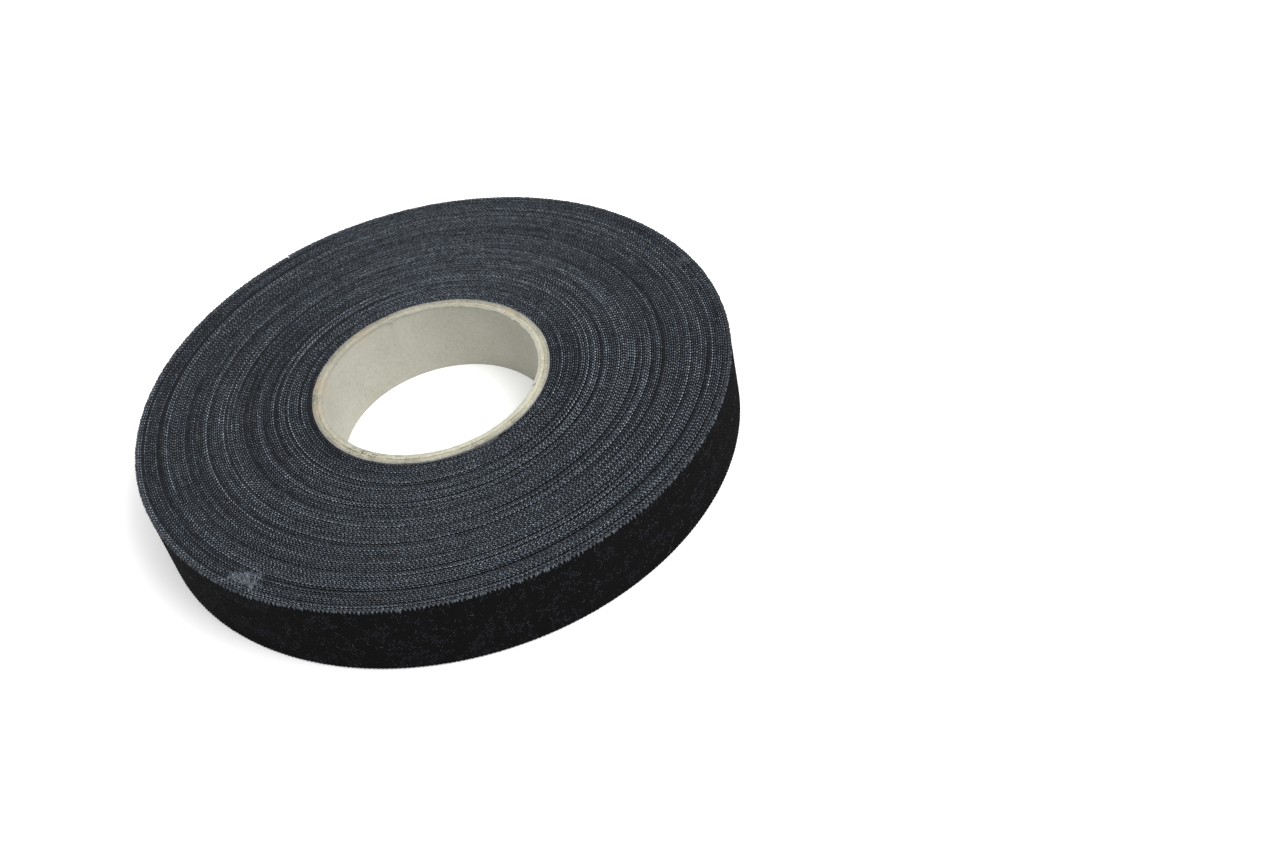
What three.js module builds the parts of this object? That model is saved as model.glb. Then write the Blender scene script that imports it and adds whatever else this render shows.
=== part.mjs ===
import * as THREE from 'three';

// A roll of cloth grip tape on a paperboard core, lying flat.
// Millimetres. +Z is the roll's axis, and the origin is the centre of its lower face.
// The tape is one long strip of woven cloth with an adhesive coat on its inner side. It winds
// anticlockwise, seen from above, and its free end lies on the back of the roll (+Y).

// Driving dimensions
const TAPE_WIDTH = 15;
const ROLL_RADIUS = 55; // at the free end, where the spiral is widest
const BORE_RADIUS = 20;
const CORE_RADIUS = 22;

// The tape's two layers
const CLOTH_THICKNESS = 0.27;
const ADHESIVE_THICKNESS = 0.09;
const LAYER_GAP = 0.02; // clearance that separates one layer from the next
const TAPE_THICKNESS = CLOTH_THICKNESS + ADHESIVE_THICKNESS + 2 * LAYER_GAP;

// The core's plies, from the bore outwards
const FACING_PLY_THICKNESS = 0.3;
const BOARD_PLY_THICKNESS = 0.65;
const CORE_PLIES = [
  { name: 'core_inner_liner', thickness: FACING_PLY_THICKNESS, color: 0xc4c2b6 },
  { name: 'core_board_ply_inner', thickness: BOARD_PLY_THICKNESS, color: 0xb3aa96 },
  { name: 'core_board_ply_outer', thickness: BOARD_PLY_THICKNESS, color: 0xb3aa96 },
  { name: 'core_outer_wrap', thickness: FACING_PLY_THICKNESS, color: 0xcbc6b0 },
];

// The free end of the tape is a tail of short links, hinged one to the next, that peels off
const TAIL_LINKS = 5;
const TAIL_LINK_ANGLE = THREE.MathUtils.degToRad(12);
const TAIL_END_ANGLE = THREE.MathUtils.degToRad(120);
const LINK_GAP = 0.3; // clearance between the ends of neighbouring links

// Every round surface is cut on the same grid of angles, so that nested layers stay apart
const FACETS = 120;
const FULL_TURN = 2 * Math.PI;
const FACET_ANGLE = FULL_TURN / FACETS;

// Values worked out from the ones above
const TAIL_START_ANGLE = TAIL_END_ANGLE - TAIL_LINKS * TAIL_LINK_ANGLE;
const HALF_GAP_ANGLE = LINK_GAP / 2 / ROLL_RADIUS;
const CLOTH_INNER_DEPTH = CLOTH_THICKNESS;
const ADHESIVE_OUTER_DEPTH = CLOTH_THICKNESS + LAYER_GAP;
const ADHESIVE_INNER_DEPTH = ADHESIVE_OUTER_DEPTH + ADHESIVE_THICKNESS;

const clothMaterial = { color: 0x1a1a1b, roughness: 0.95, metalness: 0 };
const adhesiveMaterial = { color: 0x34363a, roughness: 0.6, metalness: 0 };
const woundEdgeMaterial = { color: 0x3c4148, roughness: 0.9, metalness: 0 };

const roll = new THREE.Group();

function addPart(parent, name, geometry, material) {
  const mesh = new THREE.Mesh(geometry, new THREE.MeshStandardMaterial(material));
  mesh.name = name;
  parent.add(mesh);
}

// Radius of the spiral's outer surface at an angle of its last turn
function spiralRadius(angle) {
  return ROLL_RADIUS - TAPE_THICKNESS * (TAIL_END_ANGLE - angle) / FULL_TURN;
}

function pointAt(radius, angle) {
  return new THREE.Vector2(radius * Math.cos(angle), radius * Math.sin(angle));
}

// The two end angles, and every angle of the shared grid between them
function gridAngles(start, end) {
  const angles = [start];
  const tooClose = FACET_ANGLE / 100;
  for (let i = Math.ceil(start / FACET_ANGLE); i * FACET_ANGLE < end - tooClose; i++) {
    if (i * FACET_ANGLE > start + tooClose) {
      angles.push(i * FACET_ANGLE);
    }
  }
  angles.push(end);
  return angles;
}

// Points of the spiral at a depth below its outer surface
function spiralPoints(depth, start, end) {
  return gridAngles(start, end).map((angle) => pointAt(spiralRadius(angle) - depth, angle));
}

function circlePoints(radius) {
  const points = [];
  for (let i = 0; i < FACETS; i++) {
    points.push(pointAt(radius, i * FACET_ANGLE));
  }
  return points;
}

// An outline drawn in plan, as tall as the tape is wide
function extrudeToWidth(shape) {
  return new THREE.ExtrudeGeometry(shape, { depth: TAPE_WIDTH, bevelEnabled: false });
}

// A stretch of one layer of the last turn
function layerGeometry(outerDepth, innerDepth, start, end) {
  const outer = spiralPoints(outerDepth, start, end);
  const inner = spiralPoints(innerDepth, start, end).reverse();
  return extrudeToWidth(new THREE.Shape([...outer, ...inner]));
}

function tubeGeometry(innerRadius, outerRadius) {
  const shape = new THREE.Shape(circlePoints(outerRadius));
  shape.holes.push(new THREE.Path(circlePoints(innerRadius)));
  return extrudeToWidth(shape);
}

// Core: four glued paper plies with a hair of clearance between them
function addCore(parent) {
  const paper = CORE_PLIES.reduce((sum, ply) => sum + ply.thickness, 0);
  const plyGap = (CORE_RADIUS - BORE_RADIUS - paper) / (CORE_PLIES.length - 1);
  let radius = BORE_RADIUS;
  for (const ply of CORE_PLIES) {
    const material = { color: ply.color, roughness: 0.85, metalness: 0 };
    addPart(parent, ply.name, tubeGeometry(radius, radius + ply.thickness), material);
    radius += ply.thickness + plyGap;
  }
}

// All the turns below the last one, packed tight around the core. The outside is one turn of
// the spiral, with a step of one tape thickness where the last turn begins.
function addWoundTurns(parent) {
  const start = TAIL_END_ANGLE - FULL_TURN;
  const shape = new THREE.Shape(spiralPoints(TAPE_THICKNESS, start, TAIL_END_ANGLE));
  shape.holes.push(new THREE.Path(circlePoints(CORE_RADIUS + LAYER_GAP)));
  addPart(parent, 'tape_wound_turns', extrudeToWidth(shape), woundEdgeMaterial);
}

// Cloth and adhesive over one stretch of the last turn
function addTapeStretch(parent, name, start, end) {
  const from = start + HALF_GAP_ANGLE;
  const to = end - HALF_GAP_ANGLE;
  const cloth = layerGeometry(0, CLOTH_INNER_DEPTH, from, to);
  const adhesive = layerGeometry(ADHESIVE_OUTER_DEPTH, ADHESIVE_INNER_DEPTH, from, to);
  addPart(parent, `${name}_cloth`, cloth, clothMaterial);
  addPart(parent, `${name}_adhesive`, adhesive, adhesiveMaterial);
}

function addOuterTurn(parent) {
  addTapeStretch(parent, 'outer_turn', TAIL_END_ANGLE - FULL_TURN, TAIL_START_ANGLE);
}

// Each link turns outwards about a line parallel to Z at its first end, on the tape's outer face
function addTail(parent) {
  for (let i = 0; i < TAIL_LINKS; i++) {
    const start = TAIL_START_ANGLE + i * TAIL_LINK_ANGLE;
    addTapeStretch(parent, `tail_link_${i + 1}`, start, start + TAIL_LINK_ANGLE);
  }
}

addCore(roll);
addWoundTurns(roll);
addOuterTurn(roll);
addTail(roll);

export default roll;
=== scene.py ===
"""A roll of black cloth grip tape on a paperboard core, lying flat on a pale floor."""

import math

import bpy
import numpy as np
from mathutils import Matrix, Vector


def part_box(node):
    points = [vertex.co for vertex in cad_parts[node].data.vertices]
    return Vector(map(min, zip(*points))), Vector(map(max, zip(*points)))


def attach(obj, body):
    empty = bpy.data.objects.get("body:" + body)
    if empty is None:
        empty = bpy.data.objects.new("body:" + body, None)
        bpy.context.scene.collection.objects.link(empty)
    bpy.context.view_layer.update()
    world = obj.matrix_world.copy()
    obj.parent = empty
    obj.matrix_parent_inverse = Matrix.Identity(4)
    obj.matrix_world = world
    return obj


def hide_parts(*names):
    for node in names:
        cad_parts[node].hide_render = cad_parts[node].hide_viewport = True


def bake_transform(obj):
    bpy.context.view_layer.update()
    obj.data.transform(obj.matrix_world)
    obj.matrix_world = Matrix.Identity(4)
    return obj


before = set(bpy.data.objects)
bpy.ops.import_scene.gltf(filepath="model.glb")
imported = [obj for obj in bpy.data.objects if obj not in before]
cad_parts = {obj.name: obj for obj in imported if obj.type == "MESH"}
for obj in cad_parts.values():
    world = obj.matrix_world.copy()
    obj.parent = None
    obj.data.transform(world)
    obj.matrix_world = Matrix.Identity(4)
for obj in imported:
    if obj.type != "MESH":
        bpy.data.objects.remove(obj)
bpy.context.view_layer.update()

MM = 0.001
FULL_TURN = 2 * math.pi


def cad_radii(node):
    """Least and greatest distance of a CAD node's corners from the roll's axis."""
    corners = np.array([v.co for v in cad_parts[node].data.vertices])
    distance = np.hypot(corners[:, 0], corners[:, 1])
    return distance.min(), distance.max()


# The roll's sizes, from the frame
TAPE_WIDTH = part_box("tape_wound_turns")[1].z
BORE_RADIUS = cad_radii("core_inner_liner")[0]
CORE_RADIUS = cad_radii("core_outer_wrap")[1]
ROLL_RADIUS = cad_radii("tail_link_5_cloth")[1]

# The tape winds anticlockwise, seen from above, out to its free end at the back of the roll
TAPE_THICKNESS = 0.40 * MM
CLOTH_THICKNESS = 0.28 * MM
ADHESIVE_THICKNESS = 0.09 * MM
END_ANGLE = math.radians(120)
LINK_ANGLE = math.radians(12)
LINKS = 5
TURNS = (ROLL_RADIUS - CORE_RADIUS) / TAPE_THICKNESS
THREAD_PITCH = 0.379 * MM
SEED = 11


# ---------------------------------------------------------------- meshes


def add_object(name, points, faces, material, uv=None, tone=None, crease=35):
    """A smooth-shaded mesh object, with a UV point and a tone for each vertex where given."""
    mesh = bpy.data.meshes.new(name)
    mesh.from_pydata(points, [], faces)
    mesh.update()
    corner_vertex = np.empty(len(mesh.loops), np.int32)
    mesh.loops.foreach_get("vertex_index", corner_vertex)
    if uv is not None:
        layer = mesh.uv_layers.new(name="thread_counts")
        layer.data.foreach_set("uv", np.asarray(uv, np.float32)[corner_vertex].ravel())
    if tone is not None:
        attribute = mesh.attributes.new("tone", "FLOAT", "POINT")
        attribute.data.foreach_set("value", np.asarray(tone, np.float32))
    mesh.polygons.foreach_set("use_smooth", np.ones(len(mesh.polygons), bool))
    mesh.set_sharp_from_angle(angle=math.radians(crease))
    mesh.materials.append(material)
    piece = bpy.data.objects.new(name, mesh)
    bpy.context.scene.collection.objects.link(piece)
    return piece


def swept_faces(sections, corners, closed=False):
    """Quads between neighbouring sections of an outline. The ends are capped unless they meet."""
    i = np.arange(sections if closed else sections - 1)[:, None]
    j = np.arange(corners)[None, :]
    near, far = i * corners, (i + 1) % sections * corners
    after = (j + 1) % corners
    quads = np.stack([near + j, far + j, far + after, near + after], -1).reshape(-1, 4).tolist()
    if not closed:
        first = list(range(corners))
        last = [(sections - 1) * corners + k for k in reversed(range(corners))]
        quads += [first, last]
    return quads


def polar_points(radius, angle, height):
    radius, angle, height = np.broadcast_arrays(radius, angle, height)
    return np.stack([radius * np.cos(angle), radius * np.sin(angle), height], -1)


# ---------------------------------------------------------------- the tape's spiral


def smooth_step(x):
    x = np.clip(x, 0, 1)
    return x * x * (3 - 2 * x)


def angle_of(turn):
    return END_ANGLE + (turn - TURNS) * FULL_TURN


def outer_radius(turn):
    """Radius of the tape's outer face. The first turns lie round, with a step over its start."""
    whole = np.floor(turn)
    part = turn - whole
    step_over_start = smooth_step((part - 0.93) / 0.07)
    roundness = np.exp((1 - np.maximum(whole, 1)) / 6)
    climb = part + (step_over_start - part) * roundness
    return CORE_RADIUS + TAPE_THICKNESS * (whole + climb)


def turn_at_length(length):
    """Turn at a length of tape counted back from the free end."""
    growth = TAPE_THICKNESS / (2 * FULL_TURN)
    back = (ROLL_RADIUS - np.sqrt(ROLL_RADIUS**2 - 4 * growth * length)) / (2 * growth)
    return TURNS - back / FULL_TURN


def length_at_turn(turn):
    """Length of tape between a turn and the free end."""
    back = (TURNS - turn) * FULL_TURN
    return ROLL_RADIUS * back - TAPE_THICKNESS / (2 * FULL_TURN) * back**2


def link_turn(number):
    """Turn at which a link of the tail starts, counted from 0."""
    return TURNS - (LINKS - number) * LINK_ANGLE / FULL_TURN


# ---------------------------------------------------------------- unevenness of the wound edges

# The cut edges keep this far inside the tape's nominal width, so that thread ends fit in it
TOP_CLEARANCE = 0.10 * MM
BOTTOM_CLEARANCE = 0.20 * MM

# Radii in mm where the tape was wound a little low, which shows as dark arcs, partly painted shade
LOW_RINGS = (
    *(53.1, 50.5, 48.0, 46.5, 44.7, 43.0, 41.0, 38.2),
    *(34.5, 32.8, 31.7, 28.9, 27.6, 25.7, 24.5, 22.9),
)
MINOR_LOW_ARCS = 360

# Scuffed patches of the top face, the largest first. It has three smaller ones around it.
SCUFFS = (
    # part angle in degrees, radius in mm, reach in mm, loose fibres
    (-129, 52.0, 2.3, 190),
    (-131.5, 52.7, 1.2, 60),
    (-126.5, 53.0, 1.2, 50),
    (-127, 50.9, 0.9, 35),
    (20, 53.2, 1.3, 20),
    (13, 53.2, 1.0, 8),
    (26, 24.6, 1.6, 16),
)


def wander(turn, seed, knots_per_turn, spread):
    """Smooth random value along the tape."""
    rng = np.random.default_rng(seed)
    knots = np.arange(0, TURNS + 2, 1 / knots_per_turn)
    return np.interp(turn, knots, rng.normal(0, spread, len(knots)))


def patches(turn, seed, turns_across, knots_round):
    """Smooth random value that neighbouring turns share."""
    grid = np.random.default_rng(seed).normal(0, 1, (int(TURNS / turns_across) + 3, knots_round))
    row, column = turn / turns_across, (turn % 1) * knots_round
    row_share, column_share = smooth_step(row % 1), smooth_step(column % 1)
    row, column = row.astype(int), column.astype(int)
    after = (column + 1) % knots_round
    near = grid[row, column] * (1 - column_share) + grid[row, after] * column_share
    far = grid[row + 1, column] * (1 - column_share) + grid[row + 1, after] * column_share
    return near * (1 - row_share) + far * row_share


def ring_pattern(turn):
    """Rows that lie high and pale (above 0) or low and dark (below 0), shared by a few turns.
    Their paleness and darkness are painted light and shade in the thread ends' tone.
    """
    rings = patches(turn, SEED + 9, 1.3, 7) * 0.065
    for turns_away, share in ((-2, -0.03), (0, 0.06), (2, -0.03)):
        rings += patches(np.maximum(turn + turns_away, 0), SEED + 7, 2.4, 6) * share
    return np.where(rings > 0, 0.3, 1.4) * rings - np.abs(wander(turn, SEED + 6, 2, 0.085))


def low_arcs(turn, seed):
    """How far the tape's edge lies below its neighbours', in partial rings."""
    rng = np.random.default_rng(seed)
    arcs = []
    for radius in LOW_RINGS:
        layer = round((radius * MM - CORE_RADIUS) / TAPE_THICKNESS)
        for _ in range(2):
            middle = layer + rng.uniform(0, 1)
            arcs.append((middle, rng.uniform(0.16, 0.45), rng.uniform(0.08, 0.16)))
    for _ in range(MINOR_LOW_ARCS):
        arcs.append((rng.uniform(1, TURNS), rng.uniform(0.06, 0.40), rng.uniform(0.03, 0.11)))
    drop = np.zeros_like(turn)
    for middle, half_length, depth in arcs:
        nearness = 1 - np.abs(turn - middle) / half_length
        drop = np.maximum(drop, depth * MM * smooth_step(nearness * 2))
    return drop


def scuff_share(turn):
    """1 in the middle of a scuffed patch of the top face, falling to 0 around it."""
    share = np.zeros_like(turn)
    x, y = outer_radius(turn) * np.cos(angle_of(turn)), outer_radius(turn) * np.sin(angle_of(turn))
    for degrees, radius, reach, _ in SCUFFS:
        middle = radius * MM * np.exp(1j * math.radians(degrees))
        distance = np.hypot(x - middle.real, y - middle.imag)
        share = np.maximum(share, np.exp(-((distance / (reach * MM)) ** 2)))
    return share


def corner_dent(turn):
    """The knock that pressed the roll's outer corner down next to the largest scuff."""
    degrees, _, reach, _ = SCUFFS[0]
    aside = (angle_of(turn) - math.radians(degrees) + math.pi) % FULL_TURN - math.pi
    inward = (ROLL_RADIUS - outer_radius(turn)) / (1.2 * MM)
    return 0.30 * MM * np.exp(-((aside * ROLL_RADIUS / (2 * reach * MM)) ** 2) - inward**2)


def edge_wander(turn, seed):
    own = wander(turn, seed, 2.3, 0.025 * MM)
    return own + patches(turn, seed + 1, 4.0, 14) * 0.025 * MM + ring_pattern(turn) * 0.3 * MM


def top_edge(turn):
    rise = np.minimum(edge_wander(turn, SEED), TOP_CLEARANCE)
    return TAPE_WIDTH - TOP_CLEARANCE + rise - low_arcs(turn, SEED + 2) - corner_dent(turn)


def bottom_edge(turn):
    rise = np.maximum(edge_wander(turn, SEED + 3), -TOP_CLEARANCE)
    return BOTTOM_CLEARANCE + rise + low_arcs(turn, SEED + 5)


# ---------------------------------------------------------------- materials


class Nodes:
    """A material's node tree, with short calls for the nodes used here."""

    def __init__(self, name, roughness, specular=0.3):
        self.material = bpy.data.materials.new(name)
        self.material.use_nodes = True
        self.tree = self.material.node_tree
        self.shader = self.tree.nodes["Principled BSDF"]
        self.shader.inputs["Roughness"].default_value = roughness
        self.shader.inputs["Specular IOR Level"].default_value = specular

    def node(self, kind, values=None, **settings):
        made = self.tree.nodes.new(kind)
        for key, value in settings.items():
            setattr(made, key, value)
        for key, value in (values or {}).items():
            if isinstance(value, bpy.types.NodeSocket):
                self.tree.links.new(value, made.inputs[key])
            else:
                made.inputs[key].default_value = value
        return made

    def math(self, operation, a, b=0.0, c=0.0, clamp=False):
        values = {0: a, 1: b, 2: c}
        return self.node("ShaderNodeMath", values, operation=operation, use_clamp=clamp).outputs[0]

    def noise(self, vector, scale, detail=3.0, roughness=0.6):
        values = {"Vector": vector, "Scale": scale, "Detail": detail, "Roughness": roughness}
        return self.node("ShaderNodeTexNoise", values).outputs["Fac"]

    def ramp(self, factor, stops):
        made = self.node("ShaderNodeValToRGB", {"Fac": factor})
        elements = made.color_ramp.elements
        while len(elements) < len(stops):
            elements.new(0.5)
        for element, (position, colour) in zip(elements, stops):
            element.position = position
            element.color = (*colour, 1.0)
        return made.outputs["Color"]

    def mix(self, factor, a, b):
        made = self.node("ShaderNodeMix", data_type="RGBA")
        for socket, value in ((made.inputs[0], factor), (made.inputs[6], a), (made.inputs[7], b)):
            if isinstance(value, bpy.types.NodeSocket):
                self.tree.links.new(value, socket)
            else:
                socket.default_value = (*value, 1.0) if isinstance(value, tuple) else value
        return made.outputs[2]

    def place(self):
        return self.node("ShaderNodeTexCoord").outputs["Object"]

    def attribute(self, name):
        return self.node("ShaderNodeAttribute", attribute_name=name).outputs["Fac"]

    def colour(self, socket):
        self.tree.links.new(socket, self.shader.inputs["Base Color"])

    def bump(self, height, distance):
        made = self.node("ShaderNodeBump", {"Height": height, "Distance": distance})
        self.tree.links.new(made.outputs[0], self.shader.inputs["Normal"])


BLACK_DYE = (0.0060, 0.0060, 0.0064)
GREY_LINT = (0.024, 0.025, 0.033)


def woven(m):
    """Height of a plain weave and its lint, from thread counts along and across the tape."""
    counts = m.node("ShaderNodeUVMap", uv_map="thread_counts").outputs[0]
    split = m.node("ShaderNodeSeparateXYZ", {0: counts}).outputs
    cell = [m.math("FLOOR", split[0]), m.math("FLOOR", split[1])]
    dome = [m.math("SINE", m.math("MULTIPLY", m.math("FRACT", split[i]), math.pi)) for i in (0, 1)]
    thread_along = m.math("MULTIPLY", dome[1], m.math("MULTIPLY_ADD", dome[0], 0.5, 0.5))
    thread_across = m.math("MULTIPLY", dome[0], m.math("MULTIPLY_ADD", dome[1], 0.5, 0.5))
    across_on_top = m.math("FLOORED_MODULO", m.math("ADD", cell[0], cell[1]), 2.0)
    difference = m.math("SUBTRACT", thread_across, thread_along)
    height = m.math("MULTIPLY_ADD", difference, across_on_top, thread_along)
    place = m.node("ShaderNodeCombineXYZ", {0: cell[0], 1: cell[1]}).outputs[0]
    chance = m.node("ShaderNodeTexWhiteNoise", {"Vector": place}, noise_dimensions="2D").outputs[0]
    clusters = m.noise(counts, 0.11, detail=3.0, roughness=0.65)
    streaks = [
        m.node("ShaderNodeTexWhiteNoise", {"W": index}, noise_dimensions="1D").outputs[0]
        for index in cell
    ]
    clusters = m.math("MULTIPLY_ADD", m.math("ADD", *streaks), 0.09, clusters)
    levels = {0: clusters, 1: 0.50, 2: 0.76, 3: 0.01, 4: 0.85}
    amount = m.node("ShaderNodeMapRange", levels).outputs[0]
    caught = m.math("MULTIPLY", m.math("SUBTRACT", amount, chance), 4.0, clamp=True)
    caught = m.math("MULTIPLY", caught, m.math("MULTIPLY_ADD", across_on_top, 0.8, 0.2))
    lint = m.math("MULTIPLY", caught, m.math("POWER", height, 1.6))
    return height, lint


def cloth_material():
    """Plain black weave with pale lint caught on some threads, and painted shade in its low spots.
    """
    m = Nodes("black_cloth", roughness=0.95, specular=0.025)
    height, lint = woven(m)
    # Painted shade: the weave's low spots are a darker black.
    shade = m.mix(height, tuple(0.55 * c for c in BLACK_DYE), BLACK_DYE)
    m.colour(m.mix(lint, shade, GREY_LINT))
    m.bump(height, distance=0.06 * MM)
    return m.material


def edge_material():
    """The cut edges of the wound tape: dark cloth and adhesive between the pale thread ends."""
    m = Nodes("tape_edge", roughness=0.9, specular=0.15)
    grain = m.noise(m.place(), 900, detail=4)
    m.colour(m.ramp(grain, [(0.3, (0.004, 0.0045, 0.006)), (0.7, (0.013, 0.015, 0.019))]))
    m.bump(grain, distance=0.1 * MM)
    return m.material


def thread_end_material():
    """Cut ends of the threads, where the dye has not reached the fibres' core."""
    m = Nodes("thread_ends", roughness=0.85, specular=0.2)
    tone = m.attribute("tone")
    stops = [(0.0, (0.008, 0.010, 0.013)), (0.5, (0.146, 0.169, 0.200)), (1.0, (0.44, 0.50, 0.57))]
    m.colour(m.ramp(tone, stops))
    return m.material


def adhesive_material():
    m = Nodes("adhesive", roughness=0.45, specular=0.5)
    grain = m.noise(m.place(), 700)
    m.colour(m.ramp(grain, [(0.3, (0.016, 0.017, 0.020)), (0.7, (0.030, 0.032, 0.036))]))
    m.bump(grain, distance=0.05 * MM)
    return m.material


# Marks on the core's top rim: part angle in degrees, radius in mm, reach in mm, strength
SMUDGES = (
    (-134, 21.4, 2.3, 1.0),
    (-128, 20.9, 2.6, 1.0),
    (-121, 21.2, 2.3, 0.9),
    (-104, 21.5, 2.0, 0.5),
    (-72, 21.4, 2.4, 0.55),
    (-50, 21.5, 2.0, 0.4),
    (-24, 20.1, 1.0, 1.0),
    (150, 21.7, 3.0, 0.5),
    (178, 21.7, 3.0, 0.6),
)
STAINS = (
    (41, 21.1, 1.4, 0.5),
    (127, 21.5, 3.2, 0.3),
    (168, 21.0, 3.6, 0.35),
    (-172, 21.2, 3.2, 0.3),
)
SMUDGE_DYE, STAIN_DYE = (0.085, 0.075, 0.065), (0.50, 0.36, 0.24)


def nearness(m, place, mark):
    """1 at a mark on the core's rim, falling to 0 at its reach."""
    degrees, radius, reach, _ = mark
    middle = polar_points(radius * MM, math.radians(degrees), TAPE_WIDTH).tolist()
    span = m.node("ShaderNodeVectorMath", {0: place, 1: middle}, operation="DISTANCE")
    levels = {0: span.outputs["Value"], 1: 0.0, 2: reach * MM, 3: 1.0, 4: 0.0}
    return m.node("ShaderNodeMapRange", levels).outputs[0]


def painted_rim_shade(m, place, colour):
    """Painted shade: colour that darkens towards the back left of the core's top rim."""
    front_right = (0.643, -0.766, 0.0)
    forward = m.node("ShaderNodeVectorMath", {0: place, 1: front_right}, operation="DOT_PRODUCT")
    shade = m.math("MULTIPLY_ADD", forward.outputs["Value"], 0.15 / CORE_RADIUS, -0.10)
    height = m.node("ShaderNodeSeparateXYZ", {0: place}).outputs[2]
    levels = {0: height, 1: TAPE_WIDTH - 0.6 * MM, 2: TAPE_WIDTH - 0.1 * MM}
    on_rim = m.node("ShaderNodeMapRange", levels).outputs[0]
    scale = m.math("MULTIPLY_ADD", shade, on_rim, 1.0)
    return m.node("ShaderNodeVectorMath", {0: colour, "Scale": scale}, operation="SCALE").outputs[0]


def paper_material(name, light, dark, grain_scale):
    """Paperboard with soft blotches, a felt grain, and smudges, stains and painted shade on its top
    rim.
    """
    m = Nodes(name, roughness=0.8, specular=0.25)
    place = m.place()
    blotches = m.noise(place, 90, detail=5)
    grain = m.noise(place, grain_scale, detail=6)
    both = m.math("ADD", m.math("MULTIPLY", blotches, 0.5), m.math("MULTIPLY", grain, 0.5))
    colour = m.ramp(both, [(0.38, dark), (0.62, light)])
    for mark in STAINS:
        colour = m.mix(m.math("MULTIPLY", nearness(m, place, mark), mark[-1]), colour, STAIN_DYE)
    flecks = m.noise(place, 2600, detail=4, roughness=0.7)
    for mark in SMUDGES:
        near = nearness(m, place, mark)
        dense = m.math("SUBTRACT", m.math("MULTIPLY_ADD", near, 0.28, flecks), 0.69)
        share = m.math("MULTIPLY", m.math("MULTIPLY", dense, 9.0, clamp=True), mark[-1])
        share = m.math("MULTIPLY", share, m.math("MULTIPLY", near, 4.0, clamp=True))
        colour = m.mix(share, colour, SMUDGE_DYE)
    # The top rim gets painted shade towards its back left.
    m.colour(painted_rim_shade(m, place, colour))
    m.bump(grain, distance=0.06 * MM)
    return m.material


CLOTH = cloth_material()
EDGE = edge_material()
THREAD_ENDS = thread_end_material()
ADHESIVE = adhesive_material()
LINER = paper_material("liner_paper", (0.41, 0.405, 0.35), (0.335, 0.328, 0.275), 1500)
BOARD_INNER = paper_material("board_inner_paper", (0.50, 0.49, 0.395), (0.33, 0.315, 0.235), 1500)
BOARD_OUTER = paper_material("board_outer_paper", (0.42, 0.405, 0.315), (0.23, 0.215, 0.165), 1400)
WRAP = paper_material("wrap_paper", (0.36, 0.355, 0.32), (0.16, 0.16, 0.15), 1700)


# ---------------------------------------------------------------- core


RIM_SEGMENTS = 720


def ragged(seed, reach, spread):
    """Random value around the rim, smooth over a reach in segments."""
    values = np.random.default_rng(seed).normal(0, 1, RIM_SEGMENTS)
    kernel = np.hanning(reach + 2)
    spectrum = np.fft.rfft(values) * np.abs(np.fft.rfft(kernel, RIM_SEGMENTS))
    smooth = np.fft.irfft(spectrum, RIM_SEGMENTS)
    return smooth / smooth.std() * spread


def torn_burr(seed):
    """How far the torn liner leans into the bore: most around the back and the right of the rim."""
    degrees = np.linspace(0, 360, RIM_SEGMENTS, endpoint=False)
    from_middle = np.abs((degrees - 48 + 180) % 360 - 180)
    share = smooth_step((95 - from_middle) / 40)
    tears = np.maximum(ragged(seed, 9, 0.10 * MM) + ragged(seed + 1, 40, 0.08 * MM), 0)
    return share * (0.06 * MM + tears) + 0.02 * MM


def ply(name, inner, outer, material, seed, burr=0.0, height=0.0):
    """One ply of the core: a tube with cut rims that are slightly crowned and uneven."""
    angle = np.linspace(0, FULL_TURN, RIM_SEGMENTS, endpoint=False)
    level = np.ones(RIM_SEGMENTS)
    top = (TAPE_WIDTH - 0.04 * MM + height) * level
    top = top + ragged(seed, 12, 0.030 * MM) + ragged(seed + 1, 3, 0.020 * MM)
    bevel, flare = 0.03 * MM, 0.014 * MM
    middle = (inner + outer) / 2 + ragged(seed + 2, 8, 0.03 * MM)
    edge_shift = ragged(seed + 3, 5, 0.008 * MM)
    section = (
        (outer, bevel),
        (outer, top - 3 * bevel),
        (outer + flare, top - bevel),
        (outer + flare - bevel, top),
        (middle, top + 0.02 * MM),
        (inner - flare + bevel - burr, top + edge_shift),
        (inner - flare - burr, top - bevel + edge_shift),
        (inner - burr * 0.3, top - 4 * bevel),
        (inner, top - 12 * bevel),
        (inner, bevel),
        (inner + bevel, 0.0),
        (outer - bevel, 0.0),
    )
    rings = [polar_points(radius * level, angle, height * level) for radius, height in section]
    points = np.stack(rings, 1).reshape(-1, 3)
    return add_object(name, points, swept_faces(RIM_SEGMENTS, len(section), closed=True), material)


def build_core():
    plies = (
        ("liner_ply", "core_inner_liner", LINER, "core_liner", torn_burr(SEED + 40), 0.03 * MM),
        ("board_ply_inner", "core_board_ply_inner", BOARD_INNER, "core_board", 0.0, 0.04 * MM),
        ("board_ply_outer", "core_board_ply_outer", BOARD_OUTER, "core_board", 0.0, -0.02 * MM),
        ("wrap_ply", "core_outer_wrap", WRAP, "core_wrap", 0.0, -0.03 * MM),
    )
    for number, (name, node, material, slot, burr, height) in enumerate(plies):
        inner, outer = cad_radii(node)
        piece = ply(name, inner, outer, material, SEED + 50 + 10 * number, burr, height)
        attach(piece, "roll")
        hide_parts(node)


build_core()


# ---------------------------------------------------------------- wound tape


STRIP_THICKNESS = CLOTH_THICKNESS + ADHESIVE_THICKNESS


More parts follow.
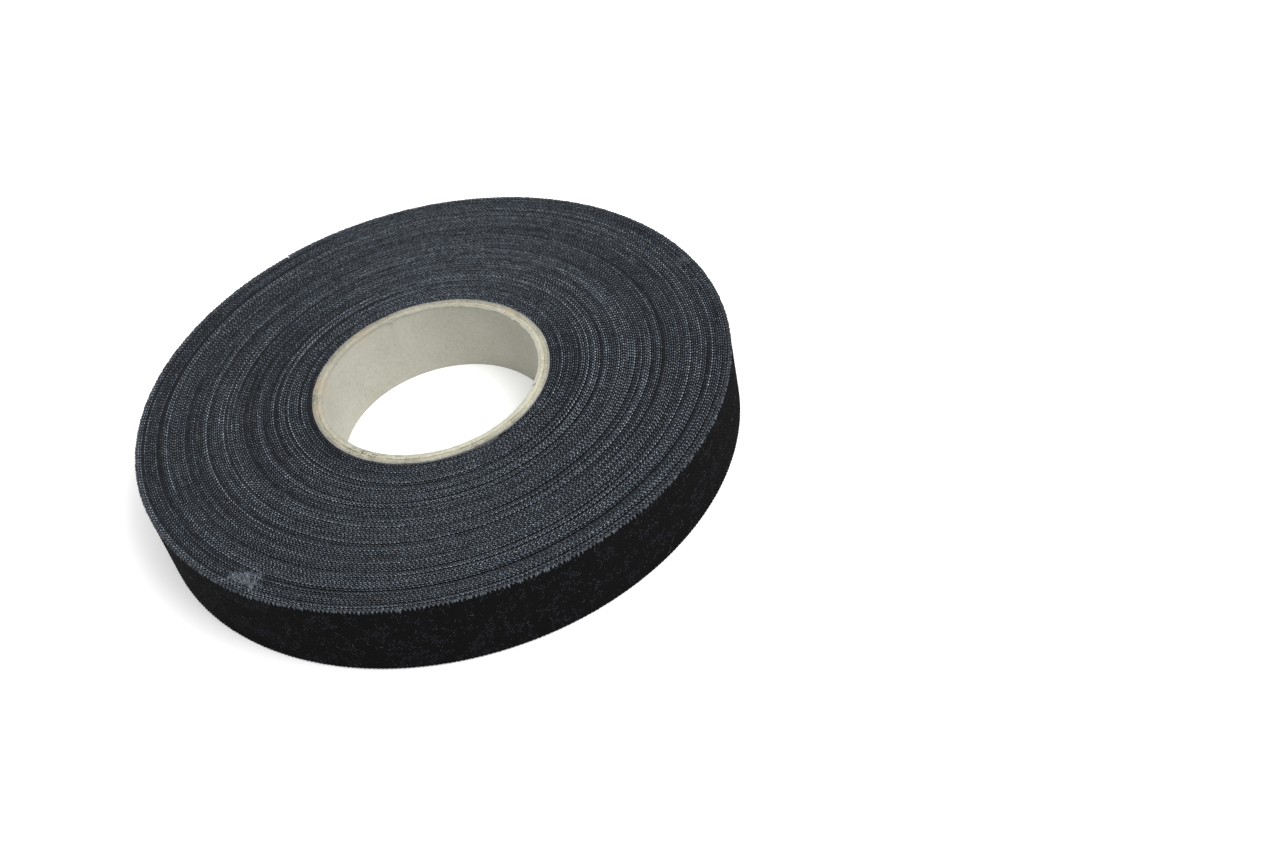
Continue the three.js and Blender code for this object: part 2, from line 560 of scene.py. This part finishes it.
def strip_sections(turn):
    """Six-cornered section of the whole strip. The cloth stands a little proud of the adhesive."""
    outer = outer_radius(turn)
    inner = outer - STRIP_THICKNESS
    crest = outer - CLOTH_THICKNESS / 2
    cloth_shoulder, adhesive_shoulder = 0.04 * MM, 0.13 * MM
    top, bottom = top_edge(turn), bottom_edge(turn)
    radius = np.stack([outer, outer, crest, inner, inner, crest], -1)
    height = np.stack(
        [
            bottom + cloth_shoulder,
            top - cloth_shoulder,
            top,
            top - adhesive_shoulder,
            bottom + adhesive_shoulder,
            bottom,
        ],
        -1,
    )
    return polar_points(radius, angle_of(turn)[:, None], height)


def build_wound_strip():
    segments_per_turn = 120
    turn = np.arange(1, TURNS - 1, 1 / segments_per_turn)
    sections = strip_sections(turn)
    corners = sections.shape[1]
    faces = swept_faces(len(turn), corners)
    along = -length_at_turn(turn)[:, None] / THREAD_PITCH
    counts = np.stack(np.broadcast_arrays(along, sections[:, :, 2] / THREAD_PITCH), -1)
    strip = add_object("wound_tape", sections.reshape(-1, 3), faces, EDGE, counts.reshape(-1, 2))
    strip.data.materials.append(CLOTH)
    strip.data.materials.append(ADHESIVE)
    side = np.arange(len(faces)) % corners
    side[-2:] = -1
    strip.data.polygons.foreach_set("material_index", np.select([side == 0, side == 3], [1, 2], 0))
    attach(strip, "roll")
    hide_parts("tape_wound_turns")


build_wound_strip()


# ---------------------------------------------------------------- thread ends and loose fibres


def copies(points, pattern):
    """Points and faces of many small solids, all with one face pattern."""
    count, corners = points.shape[:2]
    faces = np.arange(count)[:, None, None] * corners + np.array(pattern)
    return points.reshape(-1, 3), faces.reshape(-1, faces.shape[-1]).tolist()


def joined(parts):
    """One list of points, faces and tones from several."""
    points, faces, tones, start = [], [], [], 0
    for part_points, part_faces, part_tones in parts:
        points.append(part_points)
        faces += [[corner + start for corner in face] for face in part_faces]
        tones.append(part_tones)
        start += len(part_points)
    return np.concatenate(points), faces, np.concatenate(tones)


def threads_between(first, last):
    """Turns and whole-number counts of the crosswise threads on a stretch of the tape."""
    lowest = int(np.ceil(length_at_turn(last) / THREAD_PITCH - 0.5))
    highest = int(np.floor(length_at_turn(first) / THREAD_PITCH - 0.5))
    count = np.arange(max(lowest, 0), highest + 1)
    return turn_at_length((count + 0.5) * THREAD_PITCH), count


# Signs of the four corners around a thread, along and across the tape
SQUARE = ((-1, -1), (1, -1), (1, 1), (-1, 1))

# The nubs at the threads' cut ends, in mm: first for a thread that the weave holds at the cloth's
# outer face, then for one at its inner face
NUB_DEPTH = (0.110, 0.240)
NUB_HALF_LENGTH = (0.20, 0.14)
NUB_HALF_WIDTH = (0.105, 0.06)
NUB_SINK = (0.045, 0.085)


def nub_tones(turns, angle, outward, up, rng):
    """Paleness of the thread ends, with painted light and shade.
    Painted raking light makes the rows differ most at the left of the roll.
    """
    # Painted light: as if light raked along the rows at the left and right of the roll.
    across_light = np.cos(2 * (angle + math.radians(8)))
    # Paler towards the front of the roll and towards its core, drifting at random along the tape.
    tone_drift = 0.03 * np.cos(angle + math.radians(100)) + 0.10 * (1 - turns / TURNS)
    tone_drift += wander(turns, SEED + 13, 110, 0.06)
    # Painted light and shade: high rows are painted pale, and low rows and low arcs dark.
    rows = ring_pattern(turns) - low_arcs(turns, SEED + 2) / MM * 2.6 + 0.15
    scuffed = scuff_share(turns) * 0.10 if up > 0 else 0.0
    # Outward ends are paler than inward ones, and the painted raking light widens that gap.
    alternate = np.where(outward, 0.48 + 0.07 * across_light, 0.28 - 0.18 * across_light)
    painted_light_contrast = 1.05 + 0.55 * across_light - 0.30 * np.cos(angle)
    tone = alternate + tone_drift + rows * painted_light_contrast + scuffed + rng.normal(0, 0.09, len(turns))
    return np.clip(tone, 0.03, 1)


def thread_ends(first, last, edge_height, up, rng):
    """A nub for each crosswise thread's cut end. up is 1 on the top face and -1 underneath."""
    turns, number = threads_between(first, last)
    count = len(turns)
    outward = 1 - number % 2
    depth = np.where(outward, *NUB_DEPTH) + rng.normal(0, 0.012, count)
    radius = outer_radius(turns) - depth * MM
    angle = angle_of(turns) + rng.normal(0, 0.025 * MM, count) / radius
    along = (np.where(outward, *NUB_HALF_LENGTH) + rng.normal(0, 0.02, count)) * MM
    across = (np.where(outward, *NUB_HALF_WIDTH) + rng.normal(0, 0.010, count)) * MM
    sink = np.where(outward, *NUB_SINK) * MM
    rise = np.clip(0.05 + rng.normal(0, 0.02, count), 0.01, 0.1) * MM
    slant = np.clip(patches(turns, SEED + 8, 2.5, 40) * 0.05, -0.07, 0.07) * MM
    edge = edge_height(turns)
    corners = []
    for side, face in SQUARE:
        corner_radius = radius + face * across + side * slant
        corners.append(polar_points(corner_radius, angle + side * along / radius, edge - up * sink))
    lean = rng.normal(0, 0.04 * MM, count)
    corners.append(polar_points(radius, angle + lean / radius, edge + up * rise))
    pattern = np.array([[0, 1, 4], [1, 2, 4], [2, 3, 4], [3, 0, 4], [2, 1, 0], [3, 2, 0]])
    if up > 0:
        pattern = pattern[:, ::-1]
    points, faces = copies(np.stack(corners, 1), pattern)
    return points, faces, np.repeat(nub_tones(turns, angle, outward, up, rng), len(corners))


def frayed_corner(first, last, rng):
    """Cut thread ends of the last turn, bent over its top corner onto the outer face."""
    turns, number = threads_between(first, last)
    chance, second_chance = rng.uniform(0, 1, (2, len(turns)))
    kept = (number % 2 == 0) & (chance < 0.93) | (second_chance < 0.25)
    turns = turns[kept]
    count = len(turns)
    outer, top = outer_radius(turns), top_edge(turns)
    drop = np.clip(0.38 + rng.normal(0, 0.14, count), 0.15, 0.85) * MM
    lean = rng.normal(0, 0.07 * MM, count)
    flare = rng.uniform(0.02, 0.10, count) * MM
    thick = 0.022 * MM
    width = (0.13 + rng.normal(0, 0.03, count)) * MM
    path = (
        # shares of the lean and the width, radius, height, and outward direction (radial, up)
        (0.0, 1.0, outer - 0.17 * MM, top + 0.02 * MM, 0.0, 1.0),
        (0.1, 1.1, outer - 0.01 * MM, top + 0.01 * MM, 0.6, 0.8),
        (0.5, 0.9, outer + flare, top - 0.10 * MM, 1.0, 0.2),
        (1.0, 0.75, outer + 0.03 * MM, top - drop, 1.0, 0.0),
    )
    corners = []
    for lean_share, width_share, radius, height, out, up in path:
        for side, face in SQUARE:
            angle = angle_of(turns) + (lean * lean_share + side * width * width_share) / outer
            corner_radius = radius + face * thick * out
            corners.append(polar_points(corner_radius, angle, height + face * thick * up))
    points, faces = copies(np.stack(corners, 1), swept_faces(len(path), 4))
    tone = 0.26 + rng.normal(0, 0.09, count) + scuff_share(turns) * 0.10
    tone = np.clip(tone * (0.72 + 0.28 * np.cos(angle_of(turns) + math.radians(80))), 0.05, 0.9)
    fading = np.repeat((1.0, 0.95, 0.75, 0.4), 4)
    return points, faces, np.outer(tone, fading).ravel()


def fibres(starts, directions, normals, lengths, lift, rng):
    """Loose fibres, each a bent thread of four sections that leaves the surface a little."""
    count = len(starts)
    across = np.cross(normals, directions)
    bend = rng.normal(0, 0.4, count) * lengths
    thick = rng.uniform(0.010, 0.024, count) * MM
    corners = []
    for step in np.linspace(0, 1, 4):
        sideways = across * (bend * step**2)[:, None]
        middle = starts + directions * (lengths * step)[:, None] + sideways
        middle = middle + normals * (lift * math.sin(math.pi * min(step, 0.8)))[:, None]
        half = (thick * (1 - 0.6 * step))[:, None]
        for side, face in SQUARE:
            corners.append(middle + side * half * across + face * half * normals)
    points, faces = copies(np.stack(corners, 1), swept_faces(4, 4))
    tone = np.clip(rng.normal(0.51, 0.15, count), 0.15, 0.9)
    return points, faces, np.repeat(tone, 16)


def scuff_fibres(rng):
    """Matted fibres over the scuffed patches of the top face."""
    parts = []
    for degrees, radius, reach, count in SCUFFS:
        middle = polar_points(radius * MM, math.radians(degrees), TAPE_WIDTH - 0.03 * MM)
        outward = rng.normal(0, reach * 0.30 * MM, count)
        onward = rng.normal(0, reach * 0.48 * MM, count)
        angle = math.radians(degrees)
        starts = middle + outward[:, None] * polar_points(1.0, angle, 0.0)
        starts += onward[:, None] * polar_points(1.0, angle + math.pi / 2, 0.0)
        inside = np.hypot(starts[:, 0], starts[:, 1]) < ROLL_RADIUS - 0.6 * MM
        starts = starts[inside]
        heading = angle + rng.normal(0.9, 0.5, len(starts))
        heading += rng.integers(0, 2, len(starts)) * math.pi
        directions = polar_points(1.0, heading, 0.0)
        normals = np.tile((0.0, 0.0, 1.0), (len(starts), 1))
        lengths = rng.uniform(0.4, 1.3, len(starts)) * MM
        lift = rng.uniform(0.02, 0.14, len(starts)) * MM
        parts.append(fibres(starts, directions, normals, lengths, lift, rng))
    return parts


def fuzz(first, last, count, rng):
    """Short fibres that stand off the outer face."""
    turns = rng.uniform(first, last, count)
    angle = angle_of(turns)
    height = rng.uniform(1.0, TAPE_WIDTH / MM - 1.0, count) * MM
    starts = polar_points(outer_radius(turns), angle, height)
    normals = polar_points(1.0, angle, 0.0)
    tangents = polar_points(1.0, angle + math.pi / 2, 0.0)
    heading = rng.uniform(0, FULL_TURN, count)
    upward = np.array((0.0, 0.0, 1.0))
    directions = tangents * np.cos(heading)[:, None] + upward * np.sin(heading)[:, None]
    lengths = rng.uniform(0.3, 0.9, count) * MM
    lift = rng.uniform(0.04, 0.2, count) * MM
    points, faces, tones = fibres(starts, directions, normals, lengths, lift, rng)
    return points, faces, tones * 0.40


def edge_parts(first, last, rng):
    """Thread ends and frayed corner of a stretch of the last turn."""
    return [
        thread_ends(first, last, top_edge, 1, rng),
        thread_ends(first, last, bottom_edge, -1, rng),
        frayed_corner(first, last, rng),
    ]


def add_thread_ends(name, points, faces, tone):
    ends = add_object(name, points, faces, THREAD_ENDS, tone=tone, crease=180)
    return ends


def build_thread_ends():
    rng = np.random.default_rng(SEED + 10)
    last = link_turn(-0.5)
    halfway = 0.62 * TURNS
    for name, first, until in (("inner", 1.01, halfway), ("outer", halfway, TURNS - 1)):
        for side, edge_height, up in (("top", top_edge, 1), ("bottom", bottom_edge, -1)):
            points, faces, tone = thread_ends(first, until, edge_height, up, rng)
            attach(add_thread_ends(f"thread_ends_{side}_{name}", points, faces, tone), "roll")
    parts = edge_parts(TURNS - 1, last, rng) + [fuzz(TURNS - 1, last, 400, rng)] + scuff_fibres(rng)
    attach(add_thread_ends("outer_turn_fray", *joined(parts)), "roll")


build_thread_ends()


# ---------------------------------------------------------------- last turn and tail


# How far a thread rises or falls from the cloth's mean face at a crossing
RELIEF = 0.035 * MM
# Spans around the tail's hinges, in links past them; the first lies only past the roll.
# Points at their ends are found for each piece, but no piece is bent.
FIRST_BEND = (0.0, 0.3)
LATER_BENDS = (-0.48, 0.48)


def weave_grid():
    """The last turn's outer face, with a point on each crossing of its threads."""
    turns, number = threads_between(TURNS - 1, TURNS)
    rows = int(TAPE_WIDTH / THREAD_PITCH)
    rng = np.random.default_rng(SEED + 20)
    over_under = 1 - 2 * (np.add.outer(number, np.arange(rows)) % 2)
    relief = over_under * RELIEF + rng.normal(0, 0.008 * MM, over_under.shape)
    return turns[::-1], number[::-1], relief[::-1]


WEAVE_TURNS, WEAVE_NUMBERS, WEAVE_RELIEF = weave_grid()


def cloth_stretch(name, first, last):
    """Cloth of the last turn between two of its crosswise threads."""
    turn = WEAVE_TURNS[first : last + 1]
    relief = WEAVE_RELIEF[first : last + 1]
    rows = relief.shape[1]
    outer = outer_radius(turn)[:, None]
    top, bottom = top_edge(turn)[:, None], bottom_edge(turn)[:, None]
    shoulder = 0.05 * MM
    across = np.linspace(0, 1, rows)[None, :]
    face_height = bottom + shoulder + (top - bottom - 2 * shoulder) * across
    inner = outer - CLOTH_THICKNESS
    middle = (outer + inner) / 2
    radius = np.concatenate([outer - RELIEF + relief, middle, inner, inner, middle], 1)
    height = np.concatenate([face_height, top, top - shoulder, bottom + shoulder, bottom], 1)
    points = polar_points(radius, angle_of(turn)[:, None], height)
    along = -WEAVE_NUMBERS[first : last + 1, None] + 0.5
    row = np.concatenate([np.arange(rows), rows + np.arange(4)]) + 0.5
    counts = np.stack(np.broadcast_arrays(along, row[None, :]), -1)
    faces = swept_faces(len(turn), radius.shape[1])
    piece = add_object(name, points.reshape(-1, 3), faces, CLOTH, counts.reshape(-1, 2), crease=60)
    piece.data.materials.append(EDGE)
    side = np.arange(len(faces)) % radius.shape[1]
    cut_edge = (side >= rows - 1) & (side != rows + 1)
    piece.data.polygons.foreach_set("material_index", cut_edge.astype(np.int32))
    return piece


def adhesive_stretch(name, first, last):
    """Adhesive under the cloth of the last turn, between two of its crosswise threads."""
    turn = WEAVE_TURNS[first : last + 1]
    outer = outer_radius(turn) - CLOTH_THICKNESS - 0.005 * MM
    inner = outer - ADHESIVE_THICKNESS
    inset = 0.03 * MM
    top, bottom = top_edge(turn) - inset, bottom_edge(turn) + inset
    radius = np.stack([outer, outer, inner, inner], -1)
    height = np.stack([bottom, top, top, bottom], -1)
    points = polar_points(radius, angle_of(turn)[:, None], height)
    return add_object(name, points.reshape(-1, 3), swept_faces(len(turn), 4), ADHESIVE)


def column_near(turn):
    return int(np.argmin(np.abs(WEAVE_TURNS - turn)))


def on_spiral(turn):
    """Point on the tape's outer face, at half its width."""
    return polar_points(outer_radius(turn), angle_of(turn), TAPE_WIDTH / 2).tolist()


def build_last_turn():
    seam = column_near(link_turn(-0.5))
    cloth = cloth_stretch("outer_turn_weave", 0, seam)
    adhesive = adhesive_stretch("outer_turn_glue", 0, seam)
    for piece, node in ((cloth, "outer_turn_cloth"), (adhesive, "outer_turn_adhesive")):
        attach(piece, "roll")
        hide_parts(node)


def build_tail():
    """Each piece spans one hinge, from the middle of one link to the middle of the next."""
    rng = np.random.default_rng(SEED + 30)
    for i in range(LINKS):
        first = column_near(link_turn(i - 0.5))
        last = column_near(link_turn(i + 0.5)) if i < LINKS - 1 else len(WEAVE_TURNS) - 1
        cloth = cloth_stretch(f"tail_weave_{i + 1}", first, last)
        adhesive = adhesive_stretch(f"tail_glue_{i + 1}", first, last)
        parts = edge_parts(WEAVE_TURNS[first], WEAVE_TURNS[last], rng)
        fray = add_thread_ends(f"tail_fray_{i + 1}", *joined(parts))
        bend = FIRST_BEND if i == 0 else LATER_BENDS
        start, end = [on_spiral(link_turn(i + share)) for share in bend]
        for piece in (cloth, adhesive, fray):
            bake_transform(piece)
        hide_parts(f"tail_link_{i + 1}_cloth")
        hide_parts(f"tail_link_{i + 1}_adhesive")


build_last_turn()
build_tail()


# ---------------------------------------------------------------- stage, lights and camera


def build_floor():
    half = 3.0
    points = [(-half, -half, 0), (half, -half, 0), (half, half, 0), (-half, half, 0)]
    m = Nodes("floor", roughness=0.9, specular=0.1)
    m.shader.inputs["Base Color"].default_value = (0.95, 0.95, 0.95, 1)
    m.shader.inputs["Emission Color"].default_value = (1, 1, 1, 1)
    m.shader.inputs["Emission Strength"].default_value = 0.2
    floor = add_object("floor", points, [(0, 1, 2, 3)], m.material)


def build_light():
    world = bpy.data.worlds.new("studio")
    bpy.context.scene.world = world
    world.use_nodes = True
    background = world.node_tree.nodes["Background"]
    background.inputs["Color"].default_value = (1, 1, 1, 1)
    background.inputs["Strength"].default_value = 0.88
    lamp = bpy.data.lights.new("softbox", "AREA")
    lamp.shape = "RECTANGLE"
    lamp.size, lamp.size_y = 0.6, 0.4
    lamp.energy = 6
    softbox = bpy.data.objects.new("softbox", lamp)
    softbox.location = (0.42, -0.20, 0.68)
    softbox.rotation_euler = (-softbox.location).to_track_quat("-Z", "Y").to_euler()
    bpy.context.scene.collection.objects.link(softbox)
    bpy.context.scene.view_settings.view_transform = "Standard"


def build_camera():
    """The camera looks along +Y and down, tilted about its own axis."""
    pitch, roll = math.radians(42.857), math.radians(12.149)
    depth, aside, above = 288.66 * MM, 38.04 * MM, 9.05 * MM
    forward = Vector((0, math.cos(pitch), -math.sin(pitch)))
    level_up = Vector((0, math.sin(pitch), math.cos(pitch)))
    right = Vector((math.cos(roll), 0, 0)) - level_up * math.sin(roll)
    up = level_up * math.cos(roll) + Vector((math.sin(roll), 0, 0))
    top_centre = Vector((0, 0, TAPE_WIDTH))
    camera = bpy.data.objects.new("camera", bpy.data.cameras.new("camera"))
    camera.data.lens = 44.72
    camera.data.clip_start = 0.01
    location = top_centre - forward * depth + right * aside - up * above
    rotation = Matrix((right, up, -forward)).transposed().to_4x4()
    camera.matrix_world = Matrix.Translation(location) @ rotation
    bpy.context.scene.collection.objects.link(camera)
    bpy.context.scene.camera = camera


build_floor()
build_light()
build_camera()
